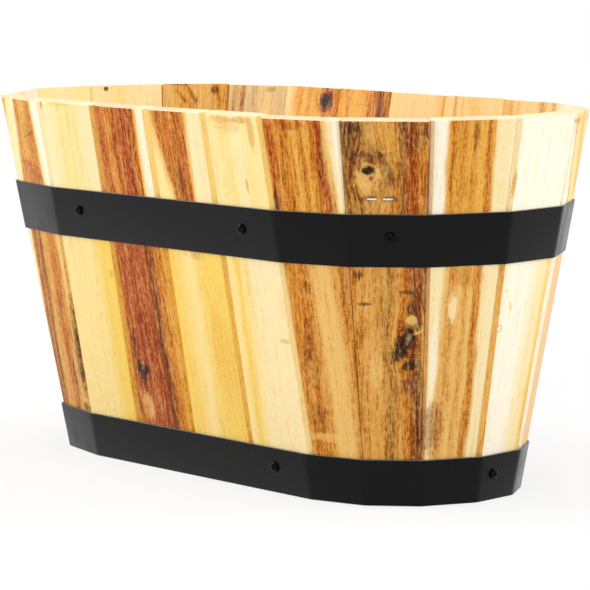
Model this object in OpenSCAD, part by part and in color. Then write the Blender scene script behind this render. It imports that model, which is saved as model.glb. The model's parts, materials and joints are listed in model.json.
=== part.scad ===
// Oval barrel planter: acacia staves that lean outward, held by two flat steel bands.
// Origin at the middle of the footprint, on the ground. +X along the length, +Z up.
// Staves, joints and screws are numbered from the middle of the front (-Y), going
// anticlockwise seen from above. Millimetres and degrees.

/* [Tub] */
// Length of the oval on which the rim's joints lie
oval_length = 616; // [480:1:760]
// Width of the oval on which the rim's joints lie
oval_width = 300; // [250:1:340]
// Height from the ground to the highest edge of the rim
tub_height = 312; // [292:1:340]
// How far the walls lean outward from upright
wall_lean = 10.2; // [5:0.1:12]
// How far right of the middle the first joint of the front lies
first_joint = 6; // [-20:1:20]

/* [Staves] */
// Thickness of the staves
stave_thick = 12; // [10:0.5:15]
// Bevel on the long outer edges
outer_bevel = 3.5; // [1:0.25:4.5]
// Bevel on the long inner edges
inner_bevel = 1.5; // [0.5:0.25:2.5]
// Easing of the rim's edges
rim_ease = 1; // [0.5:0.25:2]

/* [Bands] */
// Thickness of the band steel
band_thick = 1.3; // [1:0.1:2]
// Inside radius of a band's folds
fold_r = 14; // [6:1:20]
// Gap between a band and the staves
band_gap = 0.2; // [0.1:0.05:0.4]
// Height of the upper band
upper_band_h = 42; // [30:1:50]
// Height of the upper band's lower edge above the ground
upper_band_z = 194; // [160:1:230]
// Height of the lower band
lower_band_h = 38; // [30:1:45]
// Length of the lap where a band's ends meet at the back
band_lap = 34; // [24:1:50]

/* [Base] */
// Height of the base boards' underside above the ground
base_z = 22; // [18:1:24]
// Thickness of the base boards
base_thick = 12; // [9:0.5:13]
// Width of the middle base board
middle_board_w = 60; // [50:1:70]
// Gap between base boards, which also drains
board_gap = 3; // [2:0.5:5]
// Clearance between the base and the staves
base_clear = 0.4; // [0.3:0.1:1]
// Diameter of the drain holes
drain_d = 12; // [8:0.5:16]
// Thickness of the battens under the base
batten_thick = 10; // [8:0.5:14]
// Width of the battens
batten_w = 36; // [30:1:50]
// Distance of each batten's middle from the tub's middle
batten_x = 115; // [90:1:140]

/* [Fasteners] */
// Diameter of a band screw's head
head_d = 8.8; // [7:0.1:10]
// Height of a band screw's head
head_h = 2.8; // [2:0.1:3.4]
// How far above a band's middle its screws lie
screw_rise = 3; // [0:0.5:5]
// Diameter of a screw's shank
shank_d = 4; // [3:0.1:4.5]
// Wood left in front of a screw's tip
screw_cover = 2; // [1.5:0.25:4]
// Diameter of a stave nail
nail_d = 1.8; // [1.4:0.1:2.4]
// Diameter of a stave nail's head
nail_head_d = 4; // [3:0.1:5]
// Length of a stave nail
nail_l = 30; // [24:1:34]
// Clearance round screws, nails and staple legs
fastener_clear = 0.1; // [0.05:0.01:0.2]
// Width of a staple
staple_w = 8; // [6:0.5:12]
// Thickness of the staple wire
staple_wire = 1.4; // [0.8:0.1:1.6]
// Depth of a staple's legs
staple_depth = 8; // [6:0.5:10]
// Height of the staples above the upper band
staple_rise = 12; // [4:0.5:16]

/* [Hidden] */
// Every stave's width at the rim in order, which closing then scales to fill the oval exactly
stave_widths = [
    80, 78.5, 73.5, 73, 77, 74.5, 67.5,   // front's right half and the right end
    63, 68.5, 78, 72.5, 71, 77.5, 69,     // back, from right to left
    67.5, 75.5, 75, 89.5, 89.5, 77, 77    // left end and the front's left half
];
stave_count = len(stave_widths);
// Staves of brown heartwood; the others are pale
brown_staves = [1, 3, 4, 5, 12, 13, 15, 19, 21];

// Staves that a screw of each band enters, with its place across the stave, 0 to 1
upper_screws = [[2, 0.41], [4, 0.53], [8, 0.5], [11, 0.5], [14, 0.5], [17, 0.5], [20, 0.5]];
lower_screws = [[2, 0.36], [6, 0.4], [11, 0.4], [15, 0.4], [18, 0.6]];
// Stave at the back on which the ends of both bands lap, under a screw
lap_stave = 11;
// How far each band screw's cross is turned, for every stave it is along
screw_turn = 37;
// Stave that carries the two staples, and their places across it
staple_stave = 4;
staple_places = [0.345, 0.52];
// Places of the drain holes along the tub, as shares of the battens' distance
drain_places = [-1.5, -0.5, 0.5, 1.5];

wood_pale = "#e9c98f";
wood_brown = "#a9672f";
steel_black = "#1d1e20";
zinc = "#b9bcc0";

over = 1;                   // how far a cut runs past what it cuts
skin = 0.01;                // thickness of the slices that a band is hulled from
fine = 48;                  // sides of a round fastener or hole
drill_turn = 50;            // turn of a screw or nail hole about its own axis
lap_sink = band_thick / 2;  // how far a band's lap is sunk into the band under it
head_crown = head_h / 4;    // how far a screw head's crown stands over its rim
crown_fall = head_h / 16;   // how far the crown falls from its middle to the ends of the cross
recess_span = head_d / 2;   // length of a cross recess's slots
recess_w = head_d / 8;      // width of a cross recess's slots
recess_depth = head_h / 2;
nail_head_h = nail_head_d / 5;
countersink_h = (head_d - shank_d) * 2 / 3;

nose_r = oval_width / 2;
flat_half = oval_length / 2 - nose_r;
nose_arc = PI * nose_r;
perimeter = 4 * flat_half + 2 * nose_arc;
closing = perimeter / sum_to(stave_count);
rim_z = tub_height - (stave_thick - rim_ease) * sin(wall_lean);
wall_across = stave_thick / cos(wall_lean);
screw_r = shank_d / 2 + fastener_clear;
upper_screw_z = upper_band_z + upper_band_h / 2 + screw_rise;
lower_screw_z = lower_band_h / 2 + screw_rise;
nail_z = base_z + (base_thick - nail_l * sin(wall_lean)) / 2;
batten_z = base_z - batten_thick;
band_screw_l = band_thick + band_gap + stave_thick - screw_cover;
batten_screw_l = batten_thick + base_thick - screw_cover;
staple_z = upper_band_z + upper_band_h + staple_rise;

function sum_to(k) = k < 1 ? 0 : stave_widths[k - 1] + sum_to(k - 1);
function two_digits(k) = k < 10 ? str("0", k) : str(k);
function stave_name(k) = str("stave_", two_digits(k));

// Point on the oval at a distance from the middle of the front
function oval_point(s) =
    s < 0 ? oval_point(s + perimeter)
    : s < flat_half ? [s, -nose_r]
    : s < flat_half + nose_arc ? nose_point(s - flat_half)
    : s < 3 * flat_half + nose_arc ? [2 * flat_half + nose_arc - s, nose_r]
    : s < 3 * flat_half + 2 * nose_arc ? -nose_point(s - 3 * flat_half - nose_arc)
    : [s - perimeter, -nose_r];

// Point on the right-hand nose at a distance from where it starts
function nose_point(s) =
    let (turn = s / nose_r * 180 / PI)
    [flat_half + nose_r * sin(turn), -nose_r * cos(turn)];

// The joints' places on the rim's outer edge, with the middle of their box at the origin
raw_joints = [for (k = [0 : stave_count - 1]) oval_point(first_joint + sum_to(k) * closing)];
raw_x = [for (p = raw_joints) p.x];
raw_y = [for (p = raw_joints) p.y];
rim_middle = [max(raw_x) + min(raw_x), max(raw_y) + min(raw_y)] / 2;

// Joint k is the one before stave k; joint stave_count + 1 is joint 1 again
function joint(k) = raw_joints[(k - 1 + stave_count) % stave_count] - rim_middle;
function along(k) = (joint(k + 1) - joint(k)) / norm(joint(k + 1) - joint(k));
function inward(k) = [-along(k).y, along(k).x];
function heading(k) = atan2(along(k).y, along(k).x);

// How a joint moves when both of its staves move inward by 1
function mitre(k) =
    let (before = inward(k - 1), after = inward(k))
    (before + after) / (1 + before * after);

// How far inward of the rim's outer edge the staves' outer faces lie at a height
function inset(z) = (rim_z - z) * tan(wall_lean);

// The walls' outline at a height, moved inward by a distance
function outline(z, by = 0) =
    [for (k = [1 : stave_count]) joint(k) + mitre(k) * (inset(z) + by)];

// Half the inside width at a height
function inside_half(z) = nose_r - inset(z) - wall_across;

// Moves children to the outer face of stave k, with +Z facing out of it
module on_stave(k, place, z, out = 0) {
    foot = joint(k) * (1 - place) + joint(k + 1) * place;
    spot = foot + inward(k) * (inset(z) - out);
    translate([spot.x, spot.y, z])
        rotate([0, 90 + wall_lean, heading(k) - 90])
            children();
}

// Side profile of a stave: level at the foot, square-cut and eased at the rim
function stave_profile() =
    let (
        up = [-sin(wall_lean), cos(wall_lean)],
        across = [cos(wall_lean), sin(wall_lean)],
        outer = [0, rim_z],
        inner = outer + across * stave_thick
    )
    [
        [inset(0), 0],
        [inset(0) + wall_across, 0],
        inner - up * rim_ease,
        inner - across * rim_ease,
        outer + across * rim_ease,
        outer - up * rim_ease
    ];

// A plank a little longer than stave k is wide, which its mitres then cut to width
module stave_blank(k) {
    translate(joint(k) - along(k) * over)
        rotate([90, 0, heading(k) + 90])
            linear_extrude(height = norm(joint(k + 1) - joint(k)) + 2 * over)
                polygon(stave_profile());
}

// The space between the mitres of stave k, seen from above
module mitred_space(k, height) {
    reach = inset(0) + wall_across + over;
    linear_extrude(height = height)
        polygon([
            joint(k) - mitre(k) * over,
            joint(k + 1) - mitre(k + 1) * over,
            joint(k + 1) + mitre(k + 1) * reach,
            joint(k) + mitre(k) * reach
        ]);
}

// What is cut off a long edge of a stave, along a joint, to leave its bevel. way is -1 on
// the tub's outside and 1 on its inside. side is -1 where the stave starts at the joint
// and 1 where it ends there.
module bevel_cut(k, by, bevel, way, side) {
    foot = joint(k) + mitre(k) * (inset(0) + by);
    slope = atan(norm(mitre(k)) * tan(wall_lean));
    reach = bevel * sqrt(2);
    translate(foot)
        rotate([0, -slope, atan2(mitre(k).y, mitre(k).x)])
            rotate([0, 0, side * (90 + way * 45)])
                translate([-reach, -reach, -reach - over])
                    cube([
                        reach + bevel / sqrt(2),
                        2 * reach,
                        tub_height / cos(slope) + 2 * (reach + over)
                    ]);
}

module screw_hole(k, place, z, out) {
    on_stave(k, place, z, out + over)
        rotate([180, 0, drill_turn])
            cylinder(h = band_screw_l + over + fastener_clear, r = screw_r, $fn = fine);
}

// How far a screw's seat lies out of a stave's face: over one layer of band, or two
function seat(k) = band_gap + (k == lap_stave ? 2 : 1) * band_thick;

module band_screw_holes(screws, z) {
    for (s = screws)
        screw_hole(s[0], s[1], z, seat(s[0]));
}

// The hole of one stave nail, with the room for its head
module nail_hole(k) {
    head_r = nail_head_d / 2 + fastener_clear;
    shank_r = nail_d / 2 + fastener_clear;
    end = nail_l + fastener_clear;
    on_stave(k, 0.5, nail_z)
        rotate([180, 0, drill_turn])
            rotate_extrude($fn = fine)
                polygon([
                    [0, -over],
                    [head_r, -over],
                    [head_r, nail_head_h],
                    [shank_r, nail_head_h],
                    [shank_r, end],
                    [0, end]
                ]);
}

// One staple's wire, its crown on the face and its legs below it, grown by a clearance
module staple_wire_form(grow) {
    wire = staple_wire + 2 * grow;
    for (side = [-1, 1])
        translate([0, side * (staple_w - staple_wire) / 2, (staple_wire - staple_depth) / 2])
            cube([wire, wire, staple_depth + staple_wire + 2 * grow], center = true);
    translate([0, 0, staple_wire / 2])
        cube([wire, staple_w, wire], center = true);
}

module stave(k) {
    color(len(search(k, brown_staves)) > 0 ? wood_brown : wood_pale)
        difference() {
            intersection() {
                stave_blank(k);
                mitred_space(k, tub_height + over);
            }
            for (side = [-1, 1]) {
                edge = side < 0 ? k : k + 1;
                bevel_cut(edge, 0, outer_bevel, -1, side);
                bevel_cut(edge, wall_across, inner_bevel, 1, side);
            }
            band_screw_holes([for (s = upper_screws) if (s[0] == k) s], upper_screw_z);
            band_screw_holes([for (s = lower_screws) if (s[0] == k) s], lower_screw_z);
            nail_hole(k);
            if (k == staple_stave)
                for (place = staple_places)
                    on_stave(k, place, staple_z)
                        staple_wire_form(fastener_clear);
        }
}

// A slice of the outline with its corners rounded, at a height
module rounded_slice(z, out, r) {
    translate([0, 0, z])
        linear_extrude(height = skin)
            offset(r = r, $fn = fine)
                offset(delta = -r)
                    polygon(outline(z, -out));
}

// The leaning solid inside a band's face, from one height to another
module band_core(low, high, out, r) {
    hull() {
        rounded_slice(low, out, r);
        rounded_slice(high - skin, out, r);
    }
}

module band(low, height, screws) {
    high = low + height;
    middle = low + height / 2;
    color(steel_black)
        difference() {
            union() {
                difference() {
                    band_core(low, high, band_gap + band_thick, fold_r + band_thick);
                    band_core(low - over, high + over, band_gap, fold_r);
                }
                intersection() {
                    on_stave(lap_stave, 0.5, middle, band_gap + band_thick)
                        translate([-height, -band_lap / 2, -lap_sink])
                            cube([2 * height, band_lap, lap_sink + band_thick]);
                    translate([-oval_length / 2, -oval_width / 2, low])
                        cube([oval_length, oval_width, height]);
                }
            }
            band_screw_holes(screws, middle + screw_rise);
        }
}

module upper_band() band(upper_band_z, upper_band_h, upper_screws);
module lower_band() band(0, lower_band_h, lower_screws);

module base_outline() {
    translate([0, 0, base_z])
        linear_extrude(height = base_thick)
            polygon(outline(base_z, wall_across + base_clear));
}

module batten_screw_places() {
    board_y = middle_board_w / 2 + board_gap + front_board_half();
    for (side = [-1, 1], y = [-board_y, 0, board_y])
        translate([side * batten_x, y, batten_z])
            children();
}

// Half the width of the front and back base boards
function front_board_half() =
    (inside_half(base_z) - base_clear - middle_board_w / 2 - board_gap) / 2;

module batten_screw_hole() {
    head_r = head_d / 2 + fastener_clear;
    end = batten_screw_l + fastener_clear;
    rotate_extrude($fn = fine)
        polygon([
            [0, -over],
            [head_r, -over],
            [head_r, 0],
            [screw_r, countersink_h],
            [screw_r, end],
            [0, end]
        ]);
}

// The strip of the base between two distances from its middle line
module base_board(from_y, to_y) {
    color(wood_pale)
        difference() {
            intersection() {
                base_outline();
                translate([-oval_length / 2, from_y, 0])
                    cube([oval_length, to_y - from_y, tub_height]);
            }
            for (k = [1 : stave_count])
                nail_hole(k);
            batten_screw_places()
                batten_screw_hole();
            for (place = drain_places)
                translate([place * batten_x, 0, base_z - over])
                    cylinder(h = base_thick + 2 * over, r = drain_d / 2, $fn = fine);
        }
}

module front_base_board() base_board(-nose_r, -middle_board_w / 2 - board_gap);
module middle_base_board() base_board(-middle_board_w / 2, middle_board_w / 2);
module back_base_board() base_board(middle_board_w / 2 + board_gap, nose_r);

module batten(side) {
    half_l = inside_half(batten_z) - base_clear;
    color(wood_brown)
        difference() {
            translate([side * batten_x - batten_w / 2, -half_l, batten_z])
                cube([batten_w, 2 * half_l, batten_thick]);
            batten_screw_places()
                batten_screw_hole();
        }
}

module left_batten() batten(-1);
module right_batten() batten(1);

// A pan-head screw, its seat at the origin and its head above it
module band_screw() {
    edge_h = head_h - head_crown;
    color(steel_black)
        difference() {
            rotate_extrude($fn = fine)
                polygon([
                    [0, head_h],
                    [recess_span / 2, head_h - crown_fall],
                    [head_d / 2 - head_crown, edge_h + crown_fall],
                    [head_d / 2, edge_h / 2],
                    [head_d / 2, 0],
                    [shank_d / 2, 0],
                    [shank_d / 2, -band_screw_l + shank_d],
                    [0, -band_screw_l]
                ]);
            for (turn = [0, 90])
                rotate([0, 0, turn])
                    translate([-recess_span / 2, -recess_w / 2, head_h - recess_depth])
                        cube([recess_span, recess_w, recess_depth + over]);
        }
}

module band_screws(screws, z) {
    for (s = screws)
        on_stave(s[0], s[1], z, seat(s[0]))
            rotate([0, 0, s[0] * screw_turn])
                band_screw();
}

module upper_band_screws() band_screws(upper_screws, upper_screw_z);
module lower_band_screws() band_screws(lower_screws, lower_screw_z);

// Countersunk screws that hold the base boards to the battens
module batten_screws() {
    color(zinc)
        batten_screw_places()
            rotate_extrude($fn = fine)
                polygon([
                    [0, 0],
                    [head_d / 2, 0],
                    [shank_d / 2, countersink_h - 2 * fastener_clear],
                    [shank_d / 2, batten_screw_l - shank_d],
                    [0, batten_screw_l]
                ]);
}

// One nail through the foot of each stave into the base's edge
module stave_nails() {
    color(zinc)
        for (k = [1 : stave_count])
            on_stave(k, 0.5, nail_z)
                rotate([180, 0, 0])
                    rotate_extrude($fn = fine)
                        polygon([
                            [0, 0],
                            [nail_head_d / 2, 0],
                            [nail_head_d / 2, nail_head_h - fastener_clear],
                            [nail_d / 2, nail_head_h - fastener_clear],
                            [nail_d / 2, nail_l - nail_d],
                            [0, nail_l]
                        ]);
}

module staples() {
    color(zinc)
        for (place = staple_places)
            on_stave(staple_stave, place, staple_z)
                staple_wire_form(0);
}

for (k = [1 : stave_count])
    stave(k);
upper_band();
lower_band();
front_base_board();
middle_base_board();
back_base_board();
left_batten();
right_batten();
upper_band_screws();
lower_band_screws();
batten_screws();
stave_nails();
staples();
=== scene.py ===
# Oval barrel planter: leaning acacia staves held by two black steel bands.
# Metres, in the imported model's frame: +X along the length, front at -Y, ground at z = 0.
import json
import math

import bmesh
import bpy
from mathutils import Matrix, Vector

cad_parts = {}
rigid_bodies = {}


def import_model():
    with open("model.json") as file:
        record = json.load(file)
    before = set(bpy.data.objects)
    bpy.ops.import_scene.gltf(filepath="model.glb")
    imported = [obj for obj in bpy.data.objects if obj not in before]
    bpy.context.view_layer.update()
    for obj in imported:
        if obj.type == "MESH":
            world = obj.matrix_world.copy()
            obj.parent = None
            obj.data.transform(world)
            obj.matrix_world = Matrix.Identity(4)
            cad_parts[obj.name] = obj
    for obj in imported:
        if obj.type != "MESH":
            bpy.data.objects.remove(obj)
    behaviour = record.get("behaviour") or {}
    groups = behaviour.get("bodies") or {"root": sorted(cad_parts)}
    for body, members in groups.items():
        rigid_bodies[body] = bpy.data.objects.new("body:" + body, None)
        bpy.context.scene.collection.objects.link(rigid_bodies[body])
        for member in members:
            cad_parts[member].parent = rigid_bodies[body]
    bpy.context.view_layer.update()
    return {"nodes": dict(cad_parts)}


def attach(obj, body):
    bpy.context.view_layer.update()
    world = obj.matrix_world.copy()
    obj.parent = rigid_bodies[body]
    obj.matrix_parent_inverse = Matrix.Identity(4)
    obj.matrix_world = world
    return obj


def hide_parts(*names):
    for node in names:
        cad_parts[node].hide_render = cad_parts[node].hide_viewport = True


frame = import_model()

MM = 0.001

# Sizes of the tub, as in the part's source
OVAL_LENGTH = 616 * MM
OVAL_WIDTH = 300 * MM
TUB_HEIGHT = 312 * MM
WALL_LEAN = math.radians(10.2)
FIRST_JOINT = 6 * MM        # from the middle of the front to joint 1, along the oval
STAVE_THICK = 12 * MM
INNER_BEVEL = 1.5 * MM
RIM_EASE = 1 * MM
BAND_THICK = 1.3 * MM
BAND_GAP = 0.2 * MM
UPPER_BAND = (194 * MM, 236 * MM)
LOWER_BAND = (0, 38 * MM)
BAND_LAP = 34 * MM
LAP_STAVE = 11
HEAD_D = 8.8 * MM
HEAD_H = 2.8 * MM
SHANK_D = 4 * MM
SCREW_L = 11.5 * MM
SCREW_RISE = 3 * MM         # of the screws over the middle of their band
SCREW_TURN = math.radians(37)
STAPLE_W = 8 * MM
STAPLE_WIRE = 1.4 * MM
STAPLE_DEPTH = 8 * MM
STAPLE_Z = 248 * MM
STAVE_WIDTHS = [
    80, 78.5, 73.5, 73, 77, 74.5, 67.5,
    63, 68.5, 78, 72.5, 71, 77.5, 69,
    67.5, 75.5, 75, 89.5, 89.5, 77, 77,
]
COUNT = len(STAVE_WIDTHS)
# Fasteners' places: the stave, and how far along its width from its left
UPPER_SCREWS = [(2, 0.41), (4, 0.53), (8, 0.5), (11, 0.5), (14, 0.5), (17, 0.5), (20, 0.5)]
LOWER_SCREWS = [(2, 0.36), (6, 0.4), (11, 0.4), (15, 0.4), (18, 0.6)]
STAPLE_STAVE = 4
STAPLE_PLACES = (0.345, 0.52)

# What hand work adds to the plan
OPEN_JOINT = 0.3 * MM       # how far a joint stands open
EDGE_WEAR = 0.8 * MM        # rounding that sanding leaves on a stave's edges
SAW_SLIP = (0.4 * MM, 1 * MM)       # how far under the plan's rim a stave may be sawn
SAW_SKEW = 0.006            # how far from level a rim may be sawn, as rise over run
SLIP_STEP, SKEW_STEP = 2.4, 5.1     # radians that scatter these two from stave to stave
FOLD_CUT = 3.2 * MM         # how far beside a joint a band starts to bend
STRIP_EDGE = 0.55 * MM      # rounding of a band's cut edges
STAPLE_EDGE = 0.4 * MM      # rounding of the staples' wire
# Joints that stand proud of the oval, in mm
PROUD = {7: 1.2, 8: 1.6, 19: 1.8}
# How far joints wander from the plan, in mm to the right as seen from outside, at rim and foot
JOINT_DRIFT = {
    1: (1.4, -1.8), 2: (0, -2), 3: (-4.5, 6), 6: (-1.2, -3.2), 7: (0, 2), 20: (-0.5, -5),
    21: (2.6, -1.4),
}
# Width of the outer bevels beside a joint, in mm at rim and foot, where it isn't the usual one
BEVELS = {1: (4.6, 3.2), 2: (4.5, 3.3), 3: (3.9, 2.6), 4: (2.2, 1.8), 5: (3.2, 2.6), 21: (4.3, 4)}
USUAL_BEVEL = (3.5, 3.5)

# The screws' heads
HEAD_SIDE = 0.4 * HEAD_H    # height of the straight side under the dome
# The dome's steps up to its crown: insets in mm and rises as shares of the head's height
DOME = ((0.35, 0.24), (0.5, 0.18), (0.9, 0.13), (1, 0.05))
RECESS_L, RECESS_W = 0.56 * HEAD_D, 0.15 * HEAD_D
RECESS_CUT = 1.3 * HEAD_H   # the cutter's height, half of it over the head
RECESS_TAPER = 0.45         # the recess's size at its floor, as a share of that at its mouth

# Workshop values
PLANK = (1.5, 1.5, 1.3)     # a plank's size over its stave's, across, through and along it
BLOCK = (1.4, 1.6)          # a band's block over the oval, in length and width
LAP_THICK = 1.4 * BAND_THICK    # the lap with the part of it that sinks into the strip below
LAP_TALL = 1.3              # the lap before it is trimmed, over its band's height
FACING = 0.9                # least share of a normal along an axis for a face that looks that way
SAME_WAY = 0.99999          # product of two walls' normals over which one saw cut serves both
SAW_TOLERANCE = 1e-7
BEVEL_OUT = (0.95, 0.8)     # shares of a normal outward from which and to which a bevel fades in
SIDE_OUT = 0.3              # share of a normal outward under which a face is a board's side
END_UP = (0.3, 0.7)         # shares of a normal up from which and to which end grain fades in

NOSE_R = OVAL_WIDTH / 2
FLAT_HALF = OVAL_LENGTH / 2 - NOSE_R
NOSE_ARC = math.pi * NOSE_R
PERIMETER = 4 * FLAT_HALF + 2 * NOSE_ARC
CLOSING = PERIMETER / sum(STAVE_WIDTHS)
RIM_Z = TUB_HEIGHT - (STAVE_THICK - RIM_EASE) * math.sin(WALL_LEAN)
WALL_ACROSS = STAVE_THICK / math.cos(WALL_LEAN)


def nose_point(s):
    return Vector((FLAT_HALF + NOSE_R * math.sin(s / NOSE_R), -NOSE_R * math.cos(s / NOSE_R)))


def oval_point(s):
    """The point on the oval at a distance from the middle of the front."""
    s %= PERIMETER
    if s < FLAT_HALF:
        return Vector((s, -NOSE_R))
    if s < FLAT_HALF + NOSE_ARC:
        return nose_point(s - FLAT_HALF)
    if s < 3 * FLAT_HALF + NOSE_ARC:
        return Vector((2 * FLAT_HALF + NOSE_ARC - s, NOSE_R))
    if s < 3 * FLAT_HALF + 2 * NOSE_ARC:
        return -nose_point(s - 3 * FLAT_HALF - NOSE_ARC)
    return Vector((s - PERIMETER, -NOSE_R))


RAW_JOINTS = [oval_point(FIRST_JOINT + sum(STAVE_WIDTHS[:k]) * CLOSING) for k in range(COUNT)]
RIM_MIDDLE = Vector([
    (max(p[i] for p in RAW_JOINTS) + min(p[i] for p in RAW_JOINTS)) / 2 for i in (0, 1)])


def number(k):
    """A joint's or a stave's number when counting goes on round the tub."""
    return (k - 1) % COUNT + 1


def joint(k):
    """Joint k, the one before stave k, on the rim's outer edge seen from above."""
    spot = RAW_JOINTS[number(k) - 1]
    nose_middle = Vector((math.copysign(min(abs(spot.x), FLAT_HALF), spot.x), 0))
    return spot - RIM_MIDDLE + (spot - nose_middle).normalized() * PROUD.get(number(k), 0) * MM


def along(k):
    return (joint(k + 1) - joint(k)).normalized()


def inward(k):
    return Vector((-along(k).y, along(k).x))


def mitre(k):
    """How a joint moves when both of its staves move inward by 1."""
    before, after = inward(k - 1), inward(k)
    return (before + after) / (1 + before.dot(after))


def inset(z):
    """How far inward of the rim the outer faces lie at a height."""
    return (RIM_Z - z) * math.tan(WALL_LEAN)


def outline_point(k, z):
    spot = joint(k) + mitre(k) * inset(z)
    return Vector((spot.x, spot.y, z))


def board_axes(k):
    """Across a board to the right as seen from outside, into the wood, and up the board."""
    side, into = along(k), inward(k)
    c, s = math.cos(WALL_LEAN), math.sin(WALL_LEAN)
    return (Vector((side.x, side.y, 0)), Vector((into.x * c, into.y * c, s)),
            Vector((-into.x * s, -into.y * s, c)))


def board_foot(k):
    """The middle of stave k's outer face at the ground, from which its figure is laid out."""
    return (outline_point(k, 0) + outline_point(k + 1, 0)) / 2


def on_stave(k, place, z, out=0.0):
    """The frame of a fastener that stands on stave k, +Z facing out of the wood."""
    foot = joint(k).lerp(joint(k + 1), place) + inward(k) * (inset(z) - out)
    side, into, up = board_axes(k)
    turn = Matrix((-up, side, -into)).transposed().to_4x4()
    return Matrix.Translation((foot.x, foot.y, z)) @ turn


# ---------------------------------------------------------------- modelling

def begin(add_primitive, **place):
    """Adds a primitive with nothing else selected, applies its place and opens it for editing."""
    bpy.ops.object.select_all(action="DESELECT")
    add_primitive(**place)
    bpy.ops.object.transform_apply(location=True, rotation=True, scale=True)
    bpy.ops.object.mode_set(mode="EDIT")
    return bpy.context.object


def select(piece, kind, fits):
    """Selects the edges or faces that fit, and nothing else."""
    bpy.ops.mesh.select_mode(type={"edges": "EDGE", "faces": "FACE"}[kind])
    bpy.ops.mesh.select_all(action="DESELECT")
    shape = bmesh.from_edit_mesh(piece.data)
    for part in getattr(shape, kind):
        part.select_set(bool(fits(part)))
    bmesh.update_edit_mesh(piece.data)


def saw(point, normal, whole=True):
    """Saws off what lies on the normal's side, of the whole mesh or of what is selected."""
    if whole:
        bpy.ops.mesh.select_all(action="SELECT")
    bpy.ops.mesh.bisect(plane_co=point, plane_no=normal, use_fill=True, clear_outer=True,
                        threshold=SAW_TOLERANCE)


def extrude(*way):
    bpy.ops.mesh.extrude_region_move(TRANSFORM_OT_translate={"value": way})


def away_from(wood, a, b, c):
    """The normal of the plane through three points that faces away from the wood."""
    normal = (b - a).cross(c - a).normalized()
    return normal if normal.dot(wood - a) < 0 else -normal


def modify(piece, kind, **settings):
    """Applies a modifier."""
    bpy.ops.object.mode_set(mode="OBJECT")
    modifier = piece.modifiers.new(kind.lower(), kind)
    for key, value in settings.items():
        setattr(modifier, key, value)
    bpy.context.view_layer.objects.active = piece
    bpy.ops.object.modifier_apply(modifier=modifier.name)


def finish_piece(pieces, name, node, material, smooth=35):
    """Joins the pieces into one that stands for a node of the part; edges under the angle
    smooth, in degrees, are shaded round."""
    bpy.ops.object.select_all(action="DESELECT")
    for piece in pieces:
        piece.select_set(True)
    piece = bpy.context.view_layer.objects.active = pieces[0]
    if len(pieces) > 1:
        bpy.ops.object.join()
    piece.name = piece.data.name = name
    bpy.ops.object.shade_smooth_by_angle(angle=math.radians(smooth))
    piece.data.materials.clear()
    piece.data.materials.append(material)
    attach(piece, "root")
    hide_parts(node)


def joint_line(k):
    """Where joint k really runs on the outer faces: its ends at the rim and at the foot."""
    rim, foot = JOINT_DRIFT.get(number(k), (0, 0))
    right = Vector((mitre(k).y, -mitre(k).x, 0)).normalized()
    return outline_point(k, RIM_Z) + right * rim * MM, outline_point(k, 0) + right * foot * MM


def saw_side(k, side, wood):
    """Saws the side of a stave that lies at joint k, and its two bevels; side is 1 for the
    stave's left and -1 for its right."""
    top, foot = joint_line(k)
    deep = Vector((mitre(k).x, mitre(k).y, 0))
    across = board_axes(k if side > 0 else k - 1)[0] * side
    normal = away_from(wood, top, foot, top + deep)
    saw(top - normal * OPEN_JOINT / 2, normal)
    at_rim, at_foot = (width * MM for width in BEVELS.get(number(k), USUAL_BEVEL))
    a, b, c = top + across * at_rim, foot + across * at_foot, top + deep * at_rim
    saw(a, away_from(wood, a, b, c))
    top, foot = top + deep * WALL_ACROSS, foot + deep * WALL_ACROSS
    a, b, c = top + across * INNER_BEVEL, foot + across * INNER_BEVEL, top - deep * INNER_BEVEL
    saw(a, away_from(wood, a, b, c))


def make_stave(k, material):
    """A plank sawn to its two faces, its rim, its foot and its mitred sides."""
    side, into, up = board_axes(k)
    foot = board_foot(k)
    wood = foot + into * STAVE_THICK / 2 + up * TUB_HEIGHT / 2
    sizes = (STAVE_WIDTHS[k - 1] * MM, STAVE_THICK, TUB_HEIGHT)
    piece = begin(bpy.ops.mesh.primitive_cube_add, size=1, location=wood,
                  rotation=Matrix((side, into, up)).transposed().to_euler(),
                  scale=[size * over for size, over in zip(sizes, PLANK)])
    saw(foot, -into)
    saw(foot + into * STAVE_THICK, into)
    least, most = SAW_SLIP
    slip = (least + most) / 2 + (most - least) / 2 * math.sin(k * SLIP_STEP)
    skew = SAW_SKEW * math.sin(k * SKEW_STEP)
    saw(outline_point(k, RIM_Z) - up * slip, up + side * skew)
    saw(Vector((0, 0, 0)), Vector((0, 0, -1)))
    saw_side(k, 1, wood)
    saw_side(k + 1, -1, wood)
    bpy.ops.mesh.select_all(action="SELECT")
    bpy.ops.mesh.normals_make_consistent(inside=False)
    modify(piece, "BEVEL", width=EDGE_WEAR, segments=3, limit_method="ANGLE",
           angle_limit=math.radians(25))
    mark_board(piece, foot, side, into, up)
    name = "stave_%02d" % k
    finish_piece([piece], name + "_board", name, material)


def rise(value, low, high):
    """How far a value has come on its way from low to high, from 0 to 1."""
    return max(0.0, min(1.0, (value - low) / (high - low)))


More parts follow.
